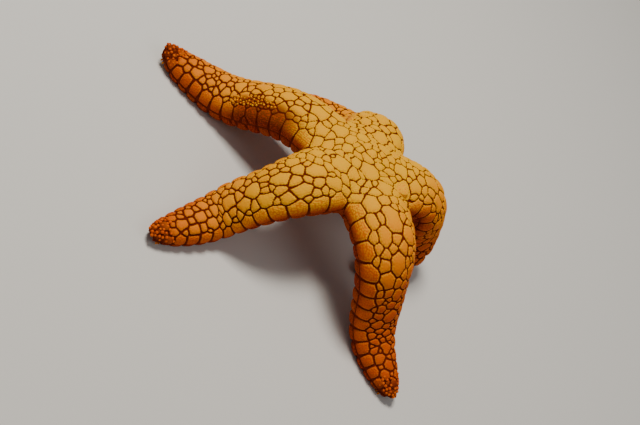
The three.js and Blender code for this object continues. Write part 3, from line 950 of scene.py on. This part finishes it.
def skin_material():
    shader = Shader("skin")
    flat = shader.attribute("flat", "Vector")
    reach = shader.attribute("reach")
    lower_tone_and_shade = shader.attribute("lower_tone_and_shade")
    depth = shader.attribute("depth")
    grain = shader.attribute("grain")
    patch = shader.attribute("patch")
    blotch = shader.noise(flat, 0.16)
    granule = shader.granules(GRANULES_PER_MM)
    dots = shader.span(granule, 0.55, 0.2)
    ragged = shader.math("SUBTRACT", dots, 0.5)
    line = shader.math("MULTIPLY_ADD", ragged, 0.035, shader.attribute("line"))
    warmth_and_shade = shader.math("MULTIPLY_ADD", blotch, 0.22, shader.attribute("warmth_and_shade"))
    # Pale marks only on the top, not in the painted shade low down nor in the patch.
    upper = shader.times(shader.span(lower_tone_and_shade, 0.8, 0.2), shader.span(patch, 0.9, 0.0, 0.1, 1.0))

    washes = [   # laid over the yellow one after another
        # Deeper orange and red: the tips' and marginals' own colour, with painted shade towards arms c
        # and d.
        (shader.span(warmth_and_shade, 0.40, 0.98), ORANGE),
        (shader.times(shader.attribute("small"), shader.span(reach, 0.15, 0.45, 0.0, 0.4)), ORANGE),
        (shader.span(warmth_and_shade, 0.78, 1.22), DEEP),
        # Low on the sides the deeper orange is partly their own colour and partly painted shade; the
        # underside's dark red-brown is painted shade.
        (shader.span(lower_tone_and_shade, 0.02, 0.6), DEEP),
        (shader.span(lower_tone_and_shade, 0.35, 1.0), LOW),
        (shader.times(shader.attribute("tone"), 0.14), ORANGE),
        # The patch's maroon ground, with painted shade on the flank below it.
        (shader.times(patch, 0.92), PATCH_GROUND_AND_SHADE),
        # Granules stand pale on a darker ground, thickest on the marginals and on plates' rims,
        # and are hardly paler where the skin is deep orange, in the patch and low down in the painted
        # shade.
        (shader.times(dots, grain, upper, shader.span(warmth_and_shade, 1.1, 0.5, 0.06, 0.42)), PALE),
        (shader.times(shader.span(granule, 0.35, 0.65), grain, 0.5), DEEP),
        # A pale rim runs along the dark lines, clearest on the disc.
        (shader.times(shader.span(line, 0.02, 0.05), shader.span(line, 0.22, 0.12),
                      shader.span(reach, 0.7, 0.1, 0.1, 0.5), upper), PALE),
        (shader.span(line, 0.035, -0.02), MAROON),
        (shader.span(reach, 0.90, 0.96, 0.0, 0.85), MAROON),
    ]
    base = YELLOW
    for share, tint in washes:
        base = shader.blend(share, base, tint)

    standing = shader.math("MULTIPLY_ADD", grain, 0.7, 0.3)
    shader.bump(shader.times(dots, standing, shader.span(line, -0.02, 0.08)), 0.06 * MM, 0.9)
    rough = shader.math("MULTIPLY_ADD", depth, -0.12, 0.62)
    return shader.finish(base, rough, 0.1)


def stud_material(name, root, tip, other, spots):
    """From one colour at the root to another at the tip, varied from stud to stud."""
    shader = Shader(name)
    place = shader.node("ShaderNodeTexCoord").outputs["Object"]
    speckle = shader.noise(place, spots)
    base = shader.blend(shader.span(shader.attribute("share"), 0.1, 0.8), root, tip)
    base = shader.blend(shader.times(shader.attribute("tone"), 0.7), base, other)
    base = shader.blend(shader.span(speckle, 0.55, 0.8), base, root)
    shader.bump(speckle, 0.05 * MM, 0.6)
    return shader.finish(base, shader.math("MULTIPLY_ADD", speckle, 0.2, 0.45), 0.15)


def sieve_material():
    shader = Shader("sieve_plate")
    place = shader.node("ShaderNodeTexCoord").outputs["Object"]
    # Painted shade: the channels' hollows are darkened.
    channel_shade = shader.span(shader.node("ShaderNodeNewGeometry").outputs["Pointiness"], 0.5, 0.42)
    speckle = shader.noise(place, 3000)
    base = shader.blend(shader.span(speckle, 0.35, 0.65), SIEVE_DARK, SIEVE_LIGHT)
    base = shader.blend(channel_shade, base, SIEVE_CHANNEL_SHADE)
    shader.bump(speckle, 0.04 * MM, 0.5)
    return shader.finish(base, 0.6, 0.15)


# ---------------------------------------------------------------- stage, lights and camera
VIEW = {"elevation": 44.36, "roll": 48.66, "distance": 152.74, "width_angle": 37.89,
        "target": (0.77, -6.93, 7.0)}
LAMPS = (   # name, shares of the camera's right, up and forward, distance, size, power, tint
    ("key", (0.4, 1.0, -0.75), 320, 90, 0.98, (1.0, 0.96, 0.88)),
    ("fill", (1.1, -0.2, -0.9), 420, 260, 0.22, (1.0, 0.97, 0.94)),
)
LIT_POINT = (0, 0, 8.0)
FLOOR_SIZE = 1.2                # metres from its middle to each side


def view_axes():
    """The camera's right, up and forward directions."""
    elevation, roll = math.radians(VIEW["elevation"]), math.radians(VIEW["roll"])
    forward = np.array([0, math.cos(elevation), -math.sin(elevation)])
    level_right = np.array([1.0, 0, 0])
    level_up = np.cross(level_right, forward)
    right = math.cos(roll) * level_right + math.sin(roll) * level_up
    up = -math.sin(roll) * level_right + math.cos(roll) * level_up
    return right, up, forward


def placed(at, right, up, forward):
    matrix = np.eye(4)
    matrix[:3, 0], matrix[:3, 1], matrix[:3, 2], matrix[:3, 3] = right, up, -forward, at
    return Matrix(matrix.tolist())


def make_camera():
    right, up, forward = view_axes()
    target = np.array(VIEW["target"]) + np.array([*PLACE, 0])
    data = bpy.data.cameras.new("camera")
    data.sensor_fit = "HORIZONTAL"
    data.angle = math.radians(VIEW["width_angle"])
    data.clip_start = 0.01
    camera = bpy.data.objects.new("camera", data)
    camera.matrix_world = placed((target - forward * VIEW["distance"]) * MM, right, up, forward)
    bpy.context.collection.objects.link(camera)
    bpy.context.scene.camera = camera


def make_light(name, shares, distance, size, power, tint):
    """A square lamp aimed at the star."""
    way = np.array(shares) @ np.array(view_axes())
    way /= np.linalg.norm(way)
    data = bpy.data.lights.new(name, "AREA")
    data.size = size * MM
    data.energy = power
    data.color = tint
    lamp = bpy.data.objects.new(name, data)
    side = np.cross(way, [0.3, 0.2, 1.0])
    side /= np.linalg.norm(side)
    at = np.array(LIT_POINT) + way * distance
    lamp.matrix_world = placed(at * MM, side, np.cross(way, side), -way)
    bpy.context.collection.objects.link(lamp)


def make_stage():
    mesh = bpy.data.meshes.new("floor")
    corners = [(x * FLOOR_SIZE, y * FLOOR_SIZE, 0) for x, y in ((-1, -1), (1, -1), (1, 1), (-1, 1))]
    mesh.from_pydata(corners, [], [(0, 1, 2, 3)])
    floor = bpy.data.objects.new("floor", mesh)
    mesh.materials.append(Shader("floor").finish(FLOOR_GREY, 0.9))
    bpy.context.collection.objects.link(floor)
    world = bpy.data.worlds.new("room")
    world.use_nodes = True
    background = world.node_tree.nodes["Background"]
    background.inputs["Color"].default_value = SKY
    background.inputs["Strength"].default_value = SKY_STRENGTH
    bpy.context.scene.world = world
    for lamp in LAMPS:
        make_light(*lamp)


# ---------------------------------------------------------------- the starfish
def dress(piece, material, slot, *nodes):
    piece.data.materials.append(material)
    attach(piece, "root")
    if nodes:
        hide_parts(*nodes)


flesh = [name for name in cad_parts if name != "madreporite"]
dress(make_skin(all_plates()), skin_material(), "arm", *flesh)
dress(make_sieve(), sieve_material(), "madreporite", "madreporite")
tip_knobs = make_knobs("tip_knobs", range(5), tip_draw, TIP_KNOB)
dress(tip_knobs, stud_material("tip_knobs", MAROON, TIP_RED, DEEP, 2500), "arm_tip")
granules = make_knobs("patch_granules", [PATCH["sector"]], patch_draw, PATCH_GRANULE)
dress(granules, stud_material("patch_granules", DEEP, YELLOW, ORANGE, 2500), "arm")
spine_material = stud_material("spines", LOW, PALE, ORANGE, 2500)
dress(make_spines(), spine_material, "arm")
dress(make_jaws(), spine_material, "disc")
foot_material = stud_material("tube_feet", ORANGE, FOOT_END, PALE, 2000)
dress(make_feet(), foot_material, "arm")
dress(make_mouth(), stud_material("mouth", LOW, DEEP, ORANGE, 2000), "disc")

make_stage()
make_camera()
bpy.context.view_layer.update()
